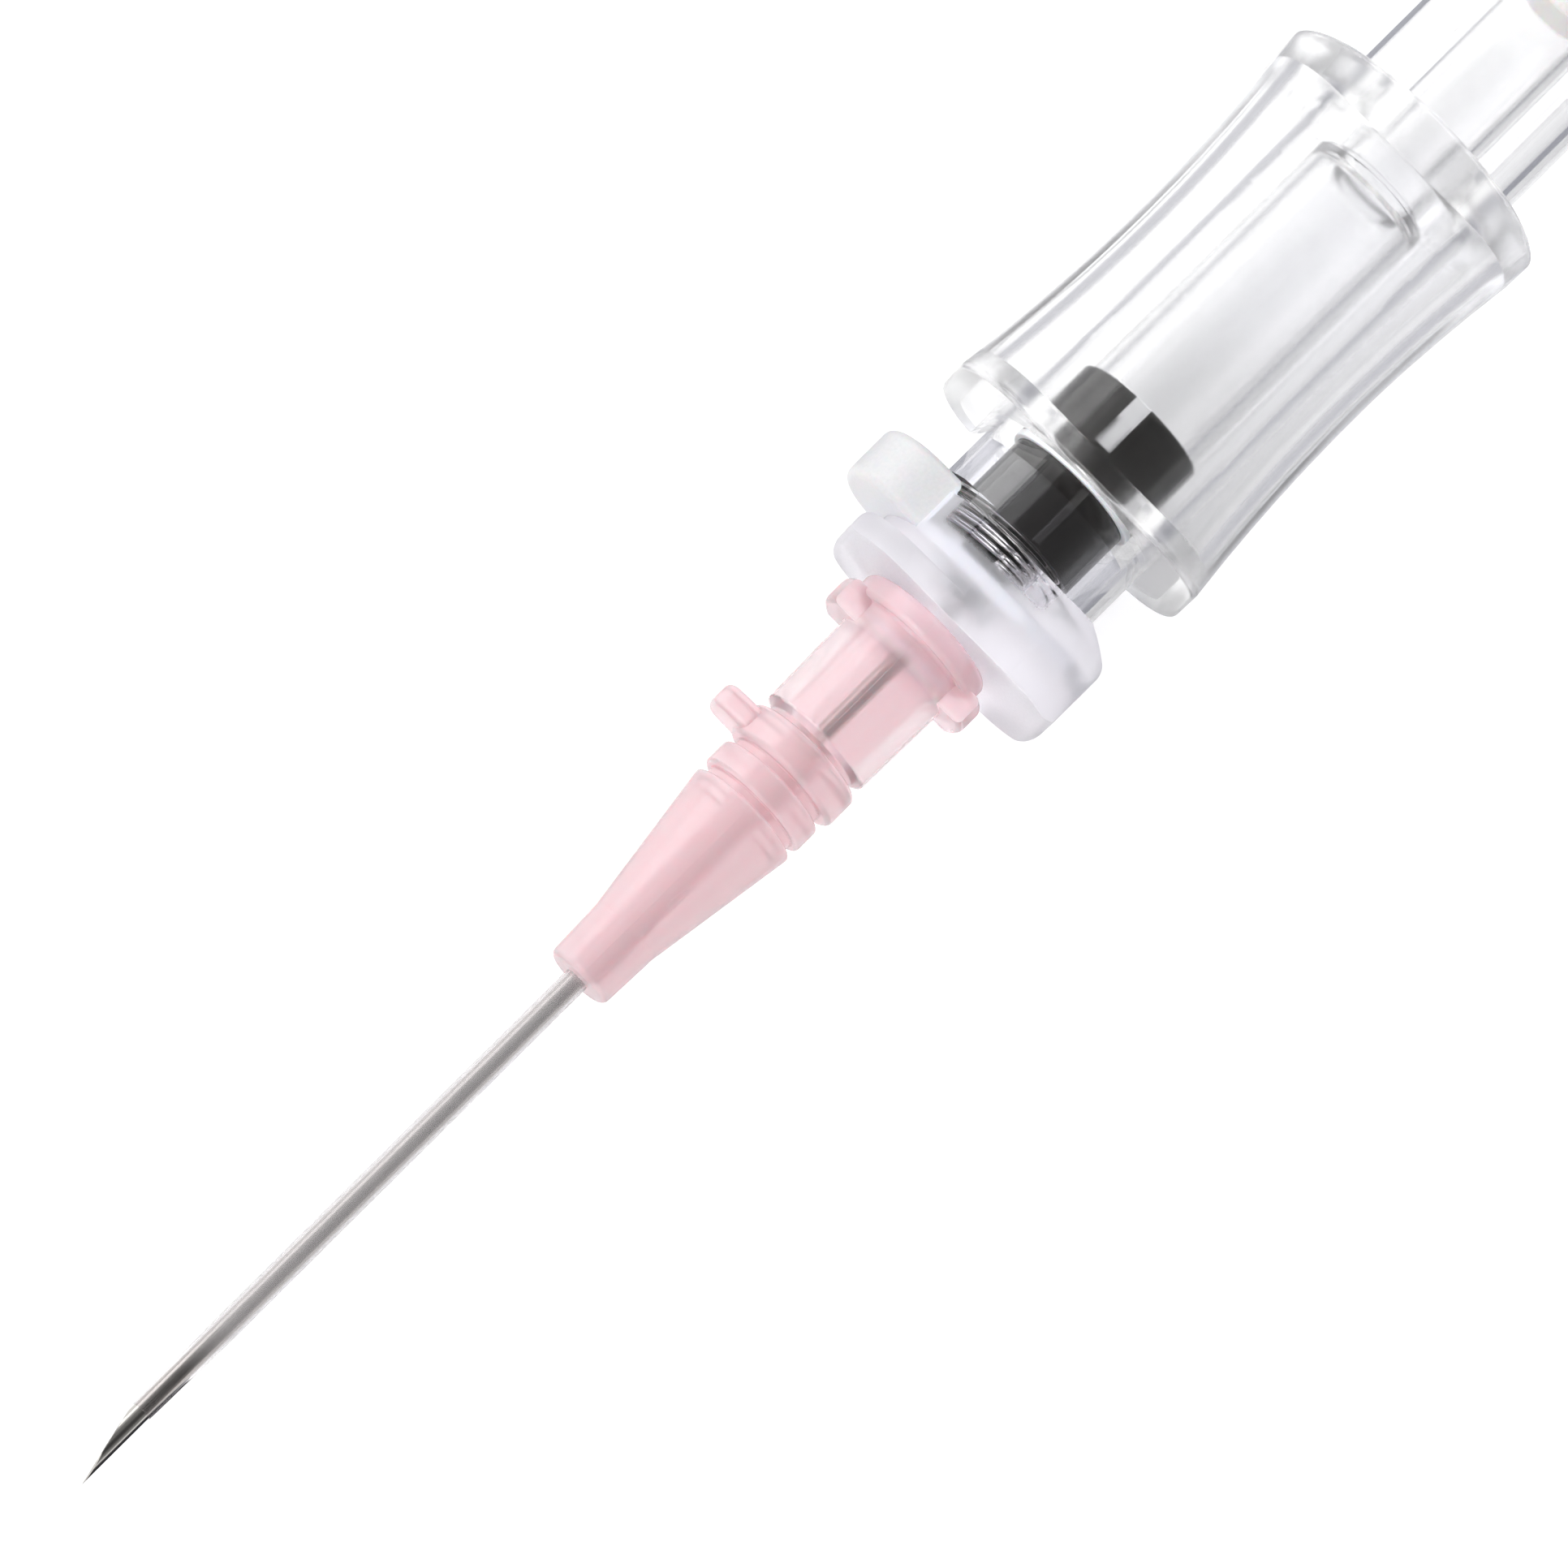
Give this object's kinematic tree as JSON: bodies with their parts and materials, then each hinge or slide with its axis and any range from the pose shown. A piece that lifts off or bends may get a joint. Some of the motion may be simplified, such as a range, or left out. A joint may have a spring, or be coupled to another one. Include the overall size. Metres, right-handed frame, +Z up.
{
  "type": "safety iv cannula",
  "caption": "Over-the-needle cannula with a pink hub, clear waisted grip and barrel, side push button and a needle that a spring draws back.",
  "frame": {"origin": "on the surface that the cannula lies on, under the middle of the grip's flat underside", "axes": "+X from the needle's tip to the rear along the needle, +Y towards the push button, +Z up; the needle's axis is 5.4 mm up"},
  "size_m": [0.1477, 0.0138, 0.0108],
  "materials": {
    "needle_steel": "drawn and ground stainless steel tube",
    "catheter_film": "thin translucent fluoropolymer tube",
    "eyelet_metal": "pressed stainless ferrule",
    "pink_hub": "translucent pink moulded polypropylene",
    "clear_housing": "clear moulded polycarbonate",
    "white_button": "opaque white moulded plastic",
    "black_hub": "black moulded plastic",
    "clear_chamber": "clear moulded polypropylene",
    "porous_plug": "white sintered polyethylene",
    "spring_wire": "bright stainless spring wire",
    "clear_barrel": "clear extruded tube",
    "clear_grip": "clear moulded plastic",
    "clear_cap": "clear moulded plastic"
  },
  "bodies": {
    "handle": {"nose_housing": "clear_housing", "barrel_tube": "clear_barrel", "grip_sleeve": "clear_grip", "end_cap": "clear_cap"},
    "catheter": {"catheter_tube": "catheter_film", "catheter_hub": "pink_hub", "catheter_eyelet": "eyelet_metal"},
    "needle_carriage": {"needle": "needle_steel", "needle_hub": "black_hub", "flash_chamber": "clear_chamber", "vent_plug": "porous_plug", "retract_spring": "spring_wire"},
    "button": {"push_button": "white_button"}
  },
  "joints": [
    {"name": "catheter_advance", "type": "slide", "parent": "handle", "child": "catheter", "axis": [-1, 0, 0], "range_m": [0, 0.052]},
    {"name": "needle_retraction", "type": "slide", "parent": "handle", "child": "needle_carriage", "axis": [1, 0, 0], "range_m": [0, 0.054], "deforming": ["retract_spring"]},
    {"name": "button_press", "type": "slide", "parent": "handle", "child": "button", "axis": [0, -1, 0], "range_m": [0, 0.0015]}
  ]
}
